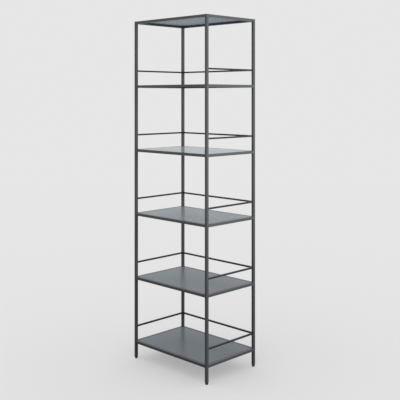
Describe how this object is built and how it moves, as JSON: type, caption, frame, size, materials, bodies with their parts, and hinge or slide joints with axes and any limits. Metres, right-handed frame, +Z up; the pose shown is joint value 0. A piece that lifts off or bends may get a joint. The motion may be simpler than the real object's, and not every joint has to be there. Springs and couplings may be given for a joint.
{
  "type": "display shelf",
  "caption": "Tall open steel display shelf: square-tube uprights, flush sheet shelves, low gallery bars on three sides, levelling feet.",
  "frame": {"origin": "on the floor, at the centre of the footprint, with the feet screwed right in", "axes": "+X along the length to the right seen from the front, +Y to the back, +Z up"},
  "size_m": [0.6, 0.4, 2],
  "materials": {
    "powder_coated_steel": "satin anthracite powder coat with a fine orange peel",
    "black_nylon": "moulded, matt black",
    "zinc_plated_steel": "bright zinc plate"
  },
  "bodies": {
    "frame": {"back_left_upright": "powder_coated_steel", "back_right_upright": "powder_coated_steel", "foot_inserts": "black_nylon", "front_left_upright": "powder_coated_steel", "front_right_upright": "powder_coated_steel", "shelf_1_back_gallery_bar": "powder_coated_steel", "shelf_1_back_rail": "powder_coated_steel", "shelf_1_front_rail": "powder_coated_steel", "shelf_1_left_gallery_bar": "powder_coated_steel", "shelf_1_left_rail": "powder_coated_steel", "shelf_1_right_gallery_bar": "powder_coated_steel", "shelf_1_right_rail": "powder_coated_steel", "shelf_1_tray": "powder_coated_steel", "shelf_2_back_gallery_bar": "powder_coated_steel", "shelf_2_back_rail": "powder_coated_steel", "shelf_2_front_rail": "powder_coated_steel", "shelf_2_left_gallery_bar": "powder_coated_steel", "shelf_2_left_rail": "powder_coated_steel", "shelf_2_right_gallery_bar": "powder_coated_steel", "shelf_2_right_rail": "powder_coated_steel", "shelf_2_tray": "powder_coated_steel", "shelf_3_back_gallery_bar": "powder_coated_steel", "shelf_3_back_rail": "powder_coated_steel", "shelf_3_front_rail": "powder_coated_steel", "shelf_3_left_gallery_bar": "powder_coated_steel", "shelf_3_left_rail": "powder_coated_steel", "shelf_3_right_gallery_bar": "powder_coated_steel", "shelf_3_right_rail": "powder_coated_steel", "shelf_3_tray": "powder_coated_steel", "shelf_4_back_gallery_bar": "powder_coated_steel", "shelf_4_back_rail": "powder_coated_steel", "shelf_4_front_rail": "powder_coated_steel", "shelf_4_left_gallery_bar": "powder_coated_steel", "shelf_4_left_rail": "powder_coated_steel", "shelf_4_right_gallery_bar": "powder_coated_steel", "shelf_4_right_rail": "powder_coated_steel", "shelf_4_tray": "powder_coated_steel", "shelf_5_back_gallery_bar": "powder_coated_steel", "shelf_5_back_rail": "powder_coated_steel", "shelf_5_front_rail": "powder_coated_steel", "shelf_5_left_gallery_bar": "powder_coated_steel", "shelf_5_left_rail": "powder_coated_steel", "shelf_5_right_gallery_bar": "powder_coated_steel", "shelf_5_right_rail": "powder_coated_steel", "shelf_5_tray": "powder_coated_steel", "shelf_6_back_rail": "powder_coated_steel", "shelf_6_front_rail": "powder_coated_steel", "shelf_6_left_rail": "powder_coated_steel", "shelf_6_right_rail": "powder_coated_steel", "shelf_6_tray": "powder_coated_steel", "upright_top_caps": "powder_coated_steel"},
    "front_left_foot": {"front_left_foot_pad": "black_nylon", "front_left_foot_stud": "zinc_plated_steel"},
    "front_right_foot": {"front_right_foot_pad": "black_nylon", "front_right_foot_stud": "zinc_plated_steel"},
    "back_left_foot": {"back_left_foot_pad": "black_nylon", "back_left_foot_stud": "zinc_plated_steel"},
    "back_right_foot": {"back_right_foot_pad": "black_nylon", "back_right_foot_stud": "zinc_plated_steel"}
  },
  "joints": [
    {"name": "front_left_foot_height", "type": "slide", "parent": "frame", "child": "front_left_foot", "axis": [0, 0, -1], "range_m": [0, 0.01]},
    {"name": "front_right_foot_height", "type": "slide", "parent": "frame", "child": "front_right_foot", "axis": [0, 0, -1], "range_m": [0, 0.01]},
    {"name": "back_left_foot_height", "type": "slide", "parent": "frame", "child": "back_left_foot", "axis": [0, 0, -1], "range_m": [0, 0.01]},
    {"name": "back_right_foot_height", "type": "slide", "parent": "frame", "child": "back_right_foot", "axis": [0, 0, -1], "range_m": [0, 0.01]}
  ]
}
